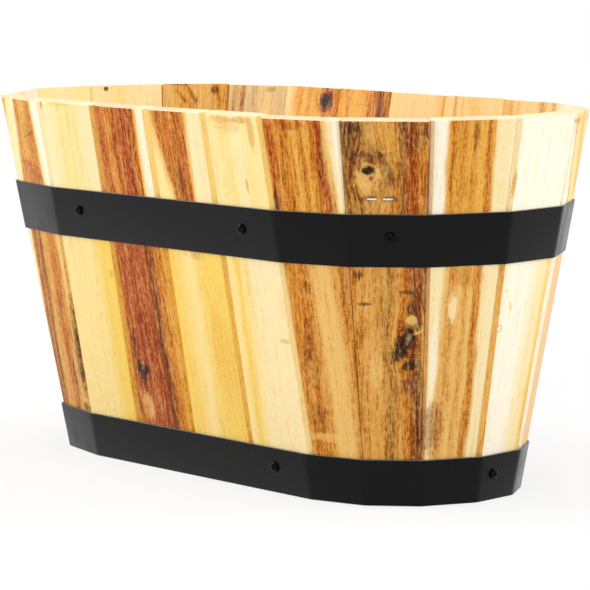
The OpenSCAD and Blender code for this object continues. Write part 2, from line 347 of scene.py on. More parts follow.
def mark_board(piece, foot, side, into, up):
    """Lays each point's place on the board, in millimetres, on the mesh for the figure, and
    marks the left bevel, the right bevel and the end grain at the rim: the bevels take painted
    shade and painted highlight, and the end grain is painted pale, partly as a highlight."""
    mesh = piece.data
    board = mesh.attributes.new("board", "FLOAT_VECTOR", "POINT")
    for vertex, spot in zip(mesh.vertices, board.data):
        away = (vertex.co - foot) / MM
        spot.vector = (away.dot(side), away.dot(into), away.dot(up))
    edges = mesh.attributes.new("edges", "FLOAT_VECTOR", "CORNER")
    for face in mesh.polygons:
        out, right, top = -face.normal.dot(into), face.normal.dot(side), face.normal.dot(up)
        # a bevel looks outward and to a side, and the wear beside it fades into the face
        bevel = rise(out, *BEVEL_OUT) if out > SIDE_OUT and abs(right) > abs(top) else 0.0
        # shares of painted shade and painted highlight on the left and the right bevel
        painted_bevel_light = (bevel, 0.0) if right < 0 else (0.0, bevel)
        for corner in face.loop_indices:
            edges.data[corner].vector = (*painted_bevel_light, rise(top, *END_UP))


def make_band(name, low, high, material):
    """A flat strip folded round the staves: a block sawn by the walls' planes, its leaning
    edges rounded, then hollowed to the strip's thickness."""
    out = BAND_GAP + BAND_THICK
    piece = begin(bpy.ops.mesh.primitive_cube_add, size=1, location=(0, 0, (low + high) / 2),
                  scale=(OVAL_LENGTH * BLOCK[0], OVAL_WIDTH * BLOCK[1], high - low))
    walls = []
    for k in range(1, COUNT + 1):
        into = board_axes(k)[1]
        if all(into.dot(wall) < SAME_WAY for wall in walls):
            saw(outline_point(k, low) - into * out, -into)
            walls.append(into)
    select(piece, "edges", lambda edge: (
        abs(edge.verts[0].co.z - edge.verts[1].co.z) > (high - low) / 2))
    bpy.ops.mesh.bevel(offset=FOLD_CUT, segments=4, affect="EDGES")
    select(piece, "faces", lambda face: abs(face.normal.z) > FACING)
    bpy.ops.mesh.delete(type="ONLY_FACE")
    modify(piece, "SOLIDIFY", thickness=BAND_THICK, offset=-1, use_even_offset=True)
    bpy.ops.object.mode_set(mode="EDIT")
    add_lap(low, high)
    modify(piece, "BEVEL", width=STRIP_EDGE, segments=3, limit_method="ANGLE",
           angle_limit=math.radians(50))
    finish_piece([piece], name + "_strip", name, material, smooth=50)


def add_lap(low, high):
    """The strip's outer end, which lies on the one below it at the back."""
    out = BAND_GAP + 2 * BAND_THICK - LAP_THICK / 2
    middle = on_stave(LAP_STAVE, 0.5, (low + high) / 2, out)
    bpy.ops.mesh.select_all(action="DESELECT")
    bpy.ops.mesh.primitive_cube_add(
        size=1, location=middle.translation, rotation=middle.to_euler(),
        scale=((high - low) * LAP_TALL, BAND_LAP, LAP_THICK))
    for z, way in ((low, -1), (high, 1)):
        saw((0, 0, z), (0, 0, way), whole=False)
        bpy.ops.mesh.select_linked()


def make_screw():
    """A low pan-head screw with a cross recess, its seat at the origin, modelled once."""
    cutters = []
    for turn in (0, 90):
        cutter = begin(bpy.ops.mesh.primitive_cube_add, size=1, location=(0, 0, HEAD_H),
                       rotation=(0, 0, math.radians(turn)), scale=(RECESS_L, RECESS_W, RECESS_CUT))
        # the recess narrows downward, as the driver's point does
        select(cutter, "faces", lambda face: face.normal.z < -FACING)
        bpy.ops.transform.resize(value=(RECESS_TAPER, RECESS_TAPER, 1))
        bpy.ops.object.mode_set(mode="OBJECT")
        cutters.append(cutter)
    piece = begin(bpy.ops.mesh.primitive_cylinder_add, vertices=32, radius=HEAD_D / 2,
                  depth=HEAD_SIDE, location=(0, 0, HEAD_SIDE / 2))
    select(piece, "faces", lambda face: face.normal.z > FACING)
    for shrink, climb in DOME:
        bpy.ops.mesh.inset(thickness=shrink * MM, depth=climb * HEAD_H)
    select(piece, "faces", lambda face: face.normal.z < -FACING)
    bpy.ops.mesh.inset(thickness=(HEAD_D - SHANK_D) / 2)
    # the shank, and then its point, as long as the shank is thick
    extrude(0, 0, -SCREW_L + SHANK_D)
    extrude(0, 0, -SHANK_D)
    bpy.ops.mesh.merge(type="CENTER")
    for cutter in cutters:
        modify(piece, "BOOLEAN", object=cutter, operation="DIFFERENCE", solver="EXACT")
        bpy.data.objects.remove(cutter)
    return piece


def drive_screws(name, pattern, places, z, material):
    """Copies of the screw at their places in a band, each turned as it was driven."""
    copies = []
    for k, place in places:
        copy = pattern.copy()
        copy.data = pattern.data.copy()
        bpy.context.collection.objects.link(copy)
        seat = BAND_GAP + BAND_THICK * (2 if k == LAP_STAVE else 1)
        copy.data.transform(on_stave(k, place, z, seat) @ Matrix.Rotation(k * SCREW_TURN, 4, "Z"))
        copies.append(copy)
    finish_piece(copies, name + "_driven", name, material)


def make_staples(material):
    """Wire staples: a flat crown with rounded shoulders, its legs in the wood."""
    pieces = []
    shoulder = STAPLE_W / 2 - STAPLE_WIRE
    for place in STAPLE_PLACES:
        piece = begin(bpy.ops.mesh.primitive_cube_add, size=1,
                      scale=(STAPLE_WIRE, 2 * shoulder, STAPLE_WIRE))
        for way in (-1, 1):
            select(piece, "faces", lambda face: face.normal.y * way > FACING)
            extrude(0, way * STAPLE_WIRE, 0)
            select(piece, "faces", lambda face: (
                face.normal.z < -FACING and face.calc_center_median().y * way > shoulder))
            extrude(0, 0, -STAPLE_DEPTH)
        modify(piece, "BEVEL", width=STAPLE_EDGE, segments=3, limit_method="ANGLE")
        piece.data.transform(on_stave(STAPLE_STAVE, place, STAPLE_Z, STAPLE_WIRE / 2))
        pieces.append(piece)
    finish_piece(pieces, "staples_bent", "staples", material)


# ---------------------------------------------------------------- materials

def linear(sheet):
    """An sRGB hex value as linear red, green and blue, and full cover."""
    channels = [int(sheet[i:i + 2], 16) / 255 for i in (0, 2, 4)]
    rgb = (c / 12.92 if c <= 0.04045 else ((c + 0.055) / 1.055) ** 2.4 for c in channels)
    return (*rgb, 1.0)


def add(tree, kind, inputs=(), **settings):
    """Adds a node with its settings; a socket among its inputs is linked, a value is set."""
    made = tree.nodes.new("ShaderNode" + kind)
    for key, value in settings.items():
        setattr(made, key, value)
    for key, value in inputs.items() if isinstance(inputs, dict) else enumerate(inputs):
        if isinstance(value, bpy.types.NodeSocket):
            tree.links.new(value, made.inputs[key])
        else:
            made.inputs[key].default_value = value
    return made


def new_material(name):
    material = bpy.data.materials.new(name)
    material.use_nodes = True
    material.node_tree.nodes.clear()
    return material, material.node_tree


def finish_shader(tree, inputs):
    shader = add(tree, "BsdfPrincipled", inputs)
    add(tree, "OutputMaterial", {"Surface": shader.outputs[0]})


# Colours of coated acacia, from sapwood to heartwood, knots and stains, and of what the grain
# does to them: sap_line and heart_line darken, sheen lightens, and tubes lie in the end grain,
# whose pale colour at the rim is partly a painted highlight
WOOD = dict(
    white="fcf4e0", cream="f9e4b0", butter="f7de96", yellow="f5cf64", gold="e6aa44", straw="ebbc6c",
    peach="f0cc8a", pink="f3c592", ash="d9bc8c", tan="dc9f48", honey="d0821e", amber="c26412",
    rust="ae480c", brown="8e4c12", umber="582808", ink="20120a", olive="c08a38", moss="8a6020",
    smoke="8c7a62", sap_line="f4cc70", heart_line="a86630", sheen="f8cf7c", pore="5a2c10",
    end_grain_and_highlight="fdf0d2", tube="ecd09c",
)
WOOD = {name: linear(sheet) for name, sheet in WOOD.items()}

# The grain's noises: size in mm across, through and along the board, detail, and a shift that
# makes each its own, as the steps from board to board make each board's its own
GRAIN = dict(
    quick=((4, 8, 30), 3, 11), slow=((40, 40, 110), 2, 0), ragged=((2, 4, 5), 4, 23),
    broad=((6, 9, 150), 3, 31), streak=((1.8, 3, 24), 4, 37), fleck=((1.1, 2, 4.5), 3, 51),
    ripple=((8, 8, 1.6), 2, 67), tube=((1.1, 1.1, 1.1), 2, 71), pore=((0.8, 1.2, 4), 2, 83),
)
BOARD_STEPS = (7.31, 3.17, 5.53)
DRIFT = dict(quick=5, slow=9)   # mm that these noises move the stripes
# How strongly these figure heartwood and sapwood
FIGURE = dict(broad=(1.3, 0.6), streak=(2.3, 0.8), fleck=(2.4, 0.55), ripple=(0.5, 0.4))
DARKEN, LIGHTEN = 1.8, 0.6  # how strongly the figure does either
HEART = (0.72, 0.2)         # lightness of pure sapwood and of pure heartwood
PORES = (0.62, 0.7, 0.5)    # noise from which and to which pores fade in, and their cover
TUBES = (0.62, 0.4)         # noise at the middle of a tube and between tubes
END_GRAIN_AND_HIGHLIGHT_COVER = 0.84            # how far the end grain and its painted highlight cover the board's colours
RELIEF = 0.12 * MM
COAT_ROUGH = (0.16, 0.38)   # what the flecks add to the coat's roughness, and the least
BEHIND_BAND = (205, 228)    # heights in mm between which the upper layout takes over
LAYOUT_SPAN = 100           # mm across a board that a layout covers
KNOT_PUSH = 0.8             # how far a knot pushes the grain, over its half width
KNOT_DEPTH = 40             # half size in mm of marks and knots through the board
MARK_EDGE = (1.2, 0.6)      # where a mark starts and where it is full, over its half sizes
RAGGED = 1.5                # how much noise this edge has

# Each stave's figure, in millimetres across and up the board from the middle of its foot.
# above and below are the layouts over and under the upper band: how far they slant to the
# right and by what share they fan out in each mm up, and the colours from left to right.
# marks are stains, splits and the hearts of knots: place, half width and half height, colour,
# cover, and turn in degrees clockwise. knots bend the grain round them: place, half width and
# half height. The bevel colours are painted shade and painted highlight on the left and the
# right bevel: their colours above and below the band, and how far these cover the board's own.
BOARDS = {
    1: dict(
        above=(-0.1, 0.0088, {-34: "butter", -25: "straw", -21: "honey", -15: "honey", -6: "amber",
            0: "honey", 6: "amber", 11: "honey", 14: "straw", 18: "cream"}),
        below=(0, 0, {-30: "yellow", -8: "butter", 10: "yellow", 34: "yellow", 50: "butter"}),
        marks=[(-4, 254, 8, 15, "brown", 0.55), (22, 108, 15, 44, "gold", 0.3),
            (2, 194, 8, 5, "tan", 0.5)],
        painted_bevel_light=(("butter", "butter"), ("yellow", "gold"), 0.7)),
    2: dict(
        above=(0, 0, {-50: "cream", -18: "butter", -6: "butter", 6: "cream", 18: "butter",
            30: "butter", 50: "cream"}),
        below=(0, 0, {-28: "butter", -20: "yellow", -12: "butter", 0: "cream"}),
        marks=[(-10, 310.5, 15, 3.4, "tan", 0.6), (13, 311, 13, 3.2, "honey", 0.5),
            (26, 301, 5, 14, "tan", 0.65), (-4, 305, 20, 5, "straw", 0.5),
            (11, 258, 2, 8, "tan", 0.5), (30, 131, 8, 2, "gold", 0.5)],
        painted_bevel_light=(("butter", "butter"), ("yellow", "butter"), 0.8)),
    3: dict(
        above=(-0.06, 0, {-50: "gold", -35: "butter", -32: "honey", -27: "amber", -21: "honey",
            -11: "honey", -5: "gold", 1: "honey", 8: "gold", 13: "honey", 17: "amber", 22: "rust",
            26: "straw", 31: "cream", 37: "white", 50: "ash"}),
        below=(-0.045, 0, {-50: "cream", -28: "gold", -25: "tan", -19: "honey", -8: "honey",
            -1: "tan", 5: "straw", 18: "straw", 26: "tan", 31: "honey", 50: "ash"}),
        marks=[(-14, 309, 20, 4, "amber", 0.85), (-28, 291, 5, 7, "rust", 0.7),
            (-29, 248, 4, 9, "umber", 0.7), (17, 270, 2, 22, "brown", 0.6, 9),
            (-11, 118, 8, 32, "brown", 0.4), (-12, 124, 1.4, 9, "umber", 0.7, 4),
            (-9, 70, 9, 13, "brown", 0.5), (2, 54, 26, 4, "straw", 0.7),
            (-8, 178, 5, 5, "brown", 0.55)],
        knots=[(-12, 124, 9, 22)],
        painted_bevel_light=(("honey", "gold"), ("cream", "tan"), 0.6)),
    4: dict(
        above=(0, 0, {-50: "umber", -32: "brown", -26: "olive", -20: "olive", -4: "tan",
            6: "honey", 12: "brown", 20: "amber", 30: "honey", 36: "amber", 50: "rust"}),
        below=(0, 0, {-50: "moss", -27: "honey", -24: "tan", -8: "tan", 2: "olive", 9: "tan",
            14: "honey", 20: "brown", 26: "brown", 50: "rust"}),
        marks=[(2, 298, 9, 20, "gold", 0.5, -14), (-13, 272, 20, 22, "brown", 0.85),
            (-13, 266, 13, 17, "tan", 0.9), (-14, 269, 9.5, 12, "straw", 0.75),
            (-27, 309, 9, 5, "ink", 0.7), (-14, 275, 5.2, 4, "ink", 1),
            (-11, 269, 2.4, 2, "rust", 0.8), (-10, 287, 13, 3, "umber", 0.6),
            (4, 270, 3, 11, "umber", 0.5, -18), (-28, 298, 6, 18, "umber", 0.55),
            (23, 302, 10, 14, "umber", 0.5), (15, 311, 2, 5, "ink", 0.8),
            (32, 307, 1.8, 8, "ink", 0.7), (27, 251, 7, 14, "rust", 0.4),
            (-14, 252.5, 7, 2.6, "umber", 0.75), (4, 252, 6.5, 2.8, "ink", 0.7),
            (-19, 167, 6, 1.6, "umber", 0.8), (-24, 191, 4, 5, "umber", 0.6),
            (17, 177, 9, 1.8, "umber", 0.8), (20, 190, 10, 8, "rust", 0.4),
            (-11, 112, 6, 17, "straw", 0.7, 4), (16, 100, 8, 9, "smoke", 0.35),
            (18, 163, 4.5, 5, "umber", 0.85), (12, 136, 7, 21, "ink", 0.9, 32),
            (15, 138, 2, 6, "smoke", 0.9, 30), (16, 117, 8, 4, "ink", 0.85, -20),
            (18, 154, 4.5, 4, "straw", 0.8), (26.5, 132, 1.2, 30, "gold", 1),
            (23, 144, 4.5, 1.2, "gold", 1, -20), (21, 70, 1.3, 32, "umber", 0.7),
            (25, 58, 2, 22, "rust", 0.6)],
        knots=[(-14, 273, 17, 24), (15, 137, 14, 26)],
        painted_bevel_light=(("tan", "tan"), ("straw", "straw"), 0.4)),
    5: dict(
        above=(0, 0, {-50: "ash", -34: "white", -24: "white", -21: "gold", -17: "honey",
            -13: "gold", -9: "honey", -4: "gold", 0: "honey", 4: "gold", 9: "gold", 13: "amber",
            16: "gold", 19: "cream", 30: "cream", 50: "white"}),
        below=(0.02, 0, {-50: "white", -27: "cream", -21: "cream", -17: "straw", -11: "tan",
            -4: "straw", 0: "tan", 5: "straw", 9: "honey", 12: "tan", 15: "cream"}),
        marks=[(1, 303, 2.2, 13, "brown", 0.8), (0, 188, 14, 8, "honey", 0.6),
            (-9, 163, 4, 11, "cream", 0.8), (11, 150, 2, 14, "honey", 0.6),
            (-19, 66, 9, 22, "brown", 0.55), (-22, 125, 3.5, 36, "white", 0.7),
            (6, 60, 2.5, 25, "amber", 0.5)],
        painted_bevel_light=(("ash", "honey"), ("cream", "cream"), 0.8)),
    6: dict(
        above=(0, 0, {34: "white", 38: "cream", 50: "straw"}),
        below=(0.044, 0, {-50: "cream", -20: "white", 0: "white", 14: "cream", 20: "cream",
            24: "yellow", 27: "gold", 30: "cream", 50: "white"}),
        marks=[(-33, 262, 1.4, 12, "gold", 0.8), (-26, 144, 3.4, 3.2, "tan", 0.8),
            (-26, 144, 2.2, 2.1, "white", 1), (-16, 162, 2, 5, "yellow", 0.7, -20),
            (-24, 175, 3, 1.5, "yellow", 0.6)],
        painted_bevel_light=(("cream", "gold"), ("white", "white"), 0.95)),
    7: dict(
        above=(-0.36, 0, {-23: "white", -19: "gold", -14: "butter", 0: "butter", 14: "straw",
            28: "butter", 50: "cream"}),
        below=(0, 0, {-20: "white", -10: "peach", 8: "pink"}),
        marks=[(-22, 308, 13, 3, "tan", 0.7), (-24, 299, 5, 2, "tan", 0.6),
            (28, 308, 9, 3, "tan", 0.5)],
        painted_bevel_light=(("white", "white"), ("butter", "pink"), 0.9)),
    8: dict(
        above=(0, 0, {-50: "cream", -10: "white", 15: "cream", 24: "straw", 29: "tan"}),
        below=(0, 0, {-14: "cream", 0: "peach", 16: "cream", 50: "straw"}),
        marks=[(-8, 96, 3, 4, "brown", 0.8)]),
    9: dict(
        above=(0, 0, {-28: "peach", -22: "tan", -15: "peach", 3: "peach", 9: "straw", 13: "peach",
            20: "tan", 26: "straw"}),
        below=(0.03, 0, {-50: "peach", -22: "tan", -16: "honey", -8: "straw", 6: "peach",
            16: "tan", 50: "peach"}),
        marks=[(12, 132, 5, 7, "brown", 0.8), (12, 132, 2.6, 3.4, "ink", 0.9)],
        knots=[(12, 132, 10, 18)]),
    10: dict(
        above=(0, 0, {-16: "peach", 0: "straw", 8: "peach", 15: "straw", 18: "peach", 24: "tan",
            27: "peach", 50: "straw"}),
        below=(0, 0, {-50: "cream", -10: "butter", 8: "peach", 22: "straw", 50: "peach"})),
    11: dict(
        above=(0, 0, {-34: "straw", -24: "peach"}),
        below=(0, 0, {-50: "peach", -12: "cream", 10: "peach", 26: "straw", 50: "peach"}),
        marks=[(-20, 70, 4, 12, "tan", 0.6)]),
    12: dict(
        above=(0, 0, {-50: "amber", -34: "honey", -22: "brown", -14: "honey", -7: "honey",
            -2: "tan", 3: "gold", 17: "gold", 22: "tan", 26: "gold"}),
        below=(0.03, 0, {-50: "honey", -30: "brown", -18: "umber", -10: "brown", 0: "amber",
            14: "honey", 22: "brown", 30: "gold", 50: "cream"}),
        marks=[(8, 96, 9, 12, "umber", 0.7), (8, 96, 4.2, 5, "ink", 0.95)],
        knots=[(8, 96, 14, 24)],
        painted_bevel_light=(("brown", "brown"), ("gold", "gold"), 0.3)),
    13: dict(
        above=(0, 0, {-50: "amber", -30: "honey", -12: "tan", -6: "gold", 2: "gold", 8: "tan",
            15: "gold", 23: "gold", 28: "straw", 31: "peach", 50: "cream"}),
        below=(-0.02, 0, {-50: "brown", -26: "rust", -14: "honey", 0: "gold", 12: "honey",
            22: "straw", 30: "cream"}),
        marks=[(-18, 303, 14, 13, "rust", 0.8), (-18, 303, 10, 9, "umber", 0.95),
            (-17, 302, 7, 6.5, "ink", 0.85)],
        knots=[(-18, 303, 14, 20)],
        painted_bevel_light=(("brown", "brown"), ("gold", "gold"), 0.3)),
    14: dict(
        above=(0, 0, {-50: "peach", -32: "cream", -24: "ash", -8: "peach", 4: "ash", 13: "ash",
            17: "olive", 21: "ash", 26: "olive", 29: "ash"}),
        below=(0, 0, {-50: "peach", -20: "ash", 0: "straw", 14: "ash"}),
        marks=[(-14, 310, 6, 3, "smoke", 0.5), (4, 118, 6, 8, "olive", 0.7)]),
    15: dict(
        above=(0.2, 0, {-50: "tan", -28: "gold", -16: "straw", -8: "straw", 0: "tan", 8: "gold",
            16: "straw", 30: "straw", 50: "gold"}),
        below=(0.05, 0, {-50: "olive", -20: "honey", -4: "moss", 8: "honey", 20: "olive",
            50: "tan"}),
        marks=[(-18, 309, 4, 4, "umber", 0.7), (3, 304, 2.2, 12, "brown", 0.7, 28),
            (13, 303, 2, 10, "brown", 0.5, 36), (16, 314, 12, 2, "brown", 0.5),
            (-22, 300, 3, 10, "brown", 0.3, 20)],
        painted_bevel_light=(("olive", "olive"), ("olive", "olive"), 0.3)),
    16: dict(
        above=(0, 0, {-50: "butter", -20: "cream", 10: "butter", 30: "cream", 50: "butter"}),
        below=(0, 0, {-50: "butter", -10: "cream", 14: "peach", 50: "butter"}),
        marks=[(20, 311, 2.3, 2.2, "umber", 1), (-6, 160, 4, 5, "brown", 0.7)]),
    17: dict(
        above=(0, 0, {-50: "cream", -20: "butter", 4: "cream", 20: "butter", 50: "cream"}),
        below=(0, 0, {-50: "cream", -16: "peach", 2: "straw", 14: "cream"})),
    18: dict(
        above=(0, 0, {0: "white", 20: "cream", 50: "white"}),
        below=(0.02, 0, {-24: "cream", -12: "straw", 4: "tan", 12: "cream"})),
    19: dict(
        above=(0.03, -0.004, {-50: "gold", -44: "cream", -27: "cream", -21: "honey", -14: "tan",
            -2: "tan", 8: "honey", 15: "tan", 20: "cream", 28: "white", 50: "cream"}),
        below=(0.03, 0, {-50: "gold", -44: "cream", -36: "cream", -33: "honey", -28: "brown",
            -23: "honey", -18: "brown", -13: "tan", -3: "tan", 2: "honey", 8: "amber", 13: "honey",
            19: "tan", 24: "straw", 50: "cream"}),
        marks=[(-4, 250, 20, 12, "amber", 0.6), (2, 283, 13, 0.9, "brown", 0.7, -14),
            (27, 98, 7, 46, "moss", 0.8, 4), (27, 88, 5, 26, "umber", 0.4, 4),
            (10, 66, 2, 20, "ink", 0.95), (23, 43, 5, 4, "ink", 0.9, 25)],
        painted_bevel_light=(("gold", "gold"), ("cream", "tan"), 0.6)),
    20: dict(
        above=(0, 0, {-30: "cream", -12: "butter", -2: "butter", 30: "cream"}),
        below=(0, 0, {6: "butter", 20: "yellow"}),
        marks=[(-12, 314, 20, 2.4, "yellow", 0.9), (-37, 311, 2, 5, "honey", 0.7),
            (28, 168, 3, 4, "gold", 0.6)],
        painted_bevel_light=(("cream", "butter"), ("gold", "gold"), 0.9)),
    21: dict(
        above=(0.02, 0, {-50: "gold", -35: "honey", -33: "amber", -23: "amber", -14: "honey",
            -8: "amber", -2: "amber", 5: "rust", 11: "rust", 15: "honey", 20: "amber", 23: "gold",
            26: "cream", 33: "white", 50: "cream"}),
        below=(0, 0, {-37: "gold", -34: "amber", -26: "amber", -23: "rust", 8: "rust", 12: "brown",
            17: "brown", 20: "amber", 28: "honey", 35: "gold", 50: "yellow"}),
        marks=[(-27, 106, 2.4, 25, "umber", 0.7), (-20, 56, 8, 13, "straw", 0.65),
            (-4, 60, 3, 16, "tan", 0.5), (-29, 76, 7, 8, "rust", 0.7),
            (-21, 87, 10, 6.5, "ink", 0.9, 15), (-24, 78, 5, 6, "umber", 0.75)],
        knots=[(-21, 85, 12, 20)],
        painted_bevel_light=(("amber", "amber"), ("yellow", "gold"), 0.8)),
}
# painted shade on the bevels of the boards that list none of their own
USUAL_PAINTED_BEVEL_LIGHT = (("straw", "straw"), ("straw", "straw"), 0.5)
# Heights in mm about which the layouts slant and fan out
LAYOUT_MIDDLES = dict(above=277, below=118)


def coated_acacia(k, board):
    """Acacia, planed and sanded, under a thin satin coat: hard-edged sapwood and heartwood,
    short dark pores, and grain that bends round the knots."""
    material, tree = new_material("clear-coated acacia board %02d" % k)
    flat = add(tree, "Attribute", attribute_name="board").outputs["Vector"]
    edges = add(tree, "Attribute", attribute_name="edges").outputs["Vector"]
    edges = add(tree, "SeparateXYZ", (edges,)).outputs

    def oval(x, z, wide, high, turn=0):
        """The way from the middle of an oval on the board, as a share of its half sizes, and
        the length of that way, which is 1 on the oval's edge."""
        way = add(tree, "Mapping", {
            "Vector": flat, "Location": (x, 0, z), "Rotation": (0, math.radians(turn), 0),
            "Scale": (wide, KNOT_DEPTH, high)}, vector_type="TEXTURE").outputs[0]
        return way, add(tree, "VectorMath", (way,), operation="LENGTH").outputs["Value"]

    # round a knot the grain is pushed aside, by less the farther off it is
    spot = flat
    for x, z, wide, high in board.get("knots", ()):
        way, reach = oval(x, z, wide, high)
        square = add(tree, "Math", (reach, reach), operation="MULTIPLY").outputs[0]
        fade = add(tree, "Math", (1 / math.e, square), operation="POWER").outputs[0]
        push = (-KNOT_PUSH * wide, 0, 0)
        aside = add(tree, "VectorMath", (way, push), operation="MULTIPLY").outputs[0]
        aside = add(tree, "VectorMath", {0: aside, "Scale": fade}, operation="SCALE").outputs[0]
        spot = add(tree, "VectorMath", (spot, aside), operation="ADD").outputs[0]
    parts = add(tree, "SeparateXYZ", (spot,)).outputs

    def grain(name):
        """One of the grain's noises, from 0 to 1."""
        size, detail, shift = GRAIN[name]
        x, y, z = (k * step for step in BOARD_STEPS)
        where = add(tree, "Mapping", {
            "Vector": spot, "Location": (x + shift, y, z),
            "Scale": tuple(1 / s for s in size)}).outputs[0]
        return add(tree, "TexNoise", {
            "Vector": where, "Scale": 1.0, "Detail": detail, "Roughness": 0.55}).outputs["Fac"]

    # the stripes wander a little along the board, as much to the left as to the right
    drift = -sum(DRIFT.values()) / 2
    for name, far in DRIFT.items():
        drift = add(tree, "Math", (grain(name), far, drift), operation="MULTIPLY_ADD").outputs[0]
    layouts = []
    for part, middle in LAYOUT_MIDDLES.items():
        slant, fan, stripes = board[part]
        leaning = add(tree, "Math", (parts["Z"], -slant, middle * slant),
                      operation="MULTIPLY_ADD").outputs[0]
        place = add(tree, "Math", (parts["X"], leaning), operation="ADD").outputs[0]
        if fan:
            spread = add(tree, "Math", (parts["Z"], fan, 1 - middle * fan),
                         operation="MULTIPLY_ADD").outputs[0]
            place = add(tree, "Math", (place, spread), operation="DIVIDE").outputs[0]
        place = add(tree, "Math", (place, drift), operation="ADD").outputs[0]
        place = add(tree, "Math", (place, 1 / LAYOUT_SPAN, 0.5),
                    operation="MULTIPLY_ADD").outputs[0]
        ramp = add(tree, "ValToRGB", {"Fac": place})
        elements = ramp.color_ramp.elements
        while len(elements) < len(stripes):
            elements.new(1.0)
        for element, (across, name) in zip(elements, stripes.items()):
            element.position = across / LAYOUT_SPAN + 0.5
            element.color = WOOD[name]
        layouts.append(ramp.outputs["Color"])
    low, high = BEHIND_BAND
    over_band = add(tree, "MapRange", {"Value": parts["Z"], "From Min": low, "From Max": high},
                    interpolation_type="SMOOTHSTEP").outputs[0]
    colour = add(tree, "Mix", {0: over_band, 6: layouts[1], 7: layouts[0]},
                 data_type="RGBA").outputs[2]

    # painted shade and painted highlight on the bevels
    *sides, cover = board.get("painted_bevel_light", USUAL_PAINTED_BEVEL_LIGHT)
    for side, (above, below) in zip(("X", "Y"), sides):
        painted_bevel_colour = add(tree, "Mix", {0: over_band, 6: WOOD[below], 7: WOOD[above]},
                    data_type="RGBA").outputs[2]
        share = add(tree, "Math", (edges[side], cover), operation="MULTIPLY").outputs[0]
        colour = add(tree, "Mix", {0: share, 6: colour, 7: painted_bevel_colour}, data_type="RGBA").outputs[2]

    # stains, splits and the hearts of knots
    ragged = grain("ragged")
    start, full = (edge + RAGGED / 2 for edge in MARK_EDGE)
    for x, z, wide, high, name, cover, *turn in board.get("marks", ()):
        way, reach = oval(x, z, wide, high, *turn)
        reach = add(tree, "Math", (ragged, RAGGED, reach), operation="MULTIPLY_ADD").outputs[0]
        share = add(tree, "MapRange", {
            "Value": reach, "From Min": start, "From Max": full, "To Max": cover},
            interpolation_type="SMOOTHSTEP").outputs[0]
        colour = add(tree, "Mix", {0: share, 6: colour, 7: WOOD[name]}, data_type="RGBA").outputs[2]

    # heartwood is the more strongly figured
    light = add(tree, "RGBToBW", (colour,)).outputs[0]
    start, full = HEART
    heart = add(tree, "MapRange", {"Value": light, "From Min": start, "From Max": full},
                interpolation_type="SMOOTHSTEP").outputs[0]
    noises, figure = {}, 0.0
    for name, (in_heart, in_sap) in FIGURE.items():
        noises[name] = grain(name)
        strength = add(tree, "Math", (heart, in_heart - in_sap, in_sap),
                       operation="MULTIPLY_ADD").outputs[0]
        swing = add(tree, "Math", (noises[name], 0.5), operation="SUBTRACT").outputs[0]
        figure = add(tree, "Math", (swing, strength, figure), operation="MULTIPLY_ADD").outputs[0]
    darker = add(tree, "Math", (figure, -DARKEN), operation="MULTIPLY", use_clamp=True).outputs[0]
    line = add(tree, "Mix", {0: heart, 6: WOOD["sap_line"], 7: WOOD["heart_line"]},
               data_type="RGBA").outputs[2]
    colour = add(tree, "Mix", {0: darker, 6: colour, 7: line}, data_type="RGBA",
                 blend_type="MULTIPLY").outputs[2]
    lighter = add(tree, "Math", (figure, LIGHTEN), operation="MULTIPLY", use_clamp=True).outputs[0]
    colour = add(tree, "Mix", {0: lighter, 6: colour, 7: WOOD["sheen"]},
                 data_type="RGBA").outputs[2]
    start, full, cover = PORES
    pores = add(tree, "MapRange", {
        "Value": grain("pore"), "From Min": start, "From Max": full, "To Max": cover}).outputs[0]
    pores = add(tree, "Math", (pores, heart), operation="MULTIPLY").outputs[0]
    colour = add(tree, "Mix", {0: pores, 6: colour, 7: WOOD["pore"]}, data_type="RGBA").outputs[2]

    # the end grain at the rim, painted pale: partly its own colour, partly a painted highlight
    start, full = TUBES
    tubes = add(tree, "MapRange", {
        "Value": grain("tube"), "From Min": start, "From Max": full}).outputs[0]
    end = add(tree, "Mix", {0: tubes, 6: WOOD["tube"], 7: WOOD["end_grain_and_highlight"]},
              data_type="RGBA").outputs[2]
    share = add(tree, "Math", (edges["Z"], END_GRAIN_AND_HIGHLIGHT_COVER), operation="MULTIPLY").outputs[0]
    colour = add(tree, "Mix", {0: share, 6: colour, 7: end}, data_type="RGBA").outputs[2]

    height = add(tree, "Math", (noises["fleck"], noises["streak"]), operation="ADD").outputs[0]
    relief = add(tree, "Bump", {"Strength": 0.3, "Distance": RELIEF, "Height": height}).outputs[0]
    rough = add(tree, "Math", (noises["fleck"], *COAT_ROUGH), operation="MULTIPLY_ADD").outputs[0]
    finish_shader(tree, {"Base Color": colour, "Roughness": rough, "Normal": relief, "IOR": 1.5,
                         "Specular IOR Level": 0.15})
    return material


FINER = 9       # how many times finer than its bands the grain of bare acacia is


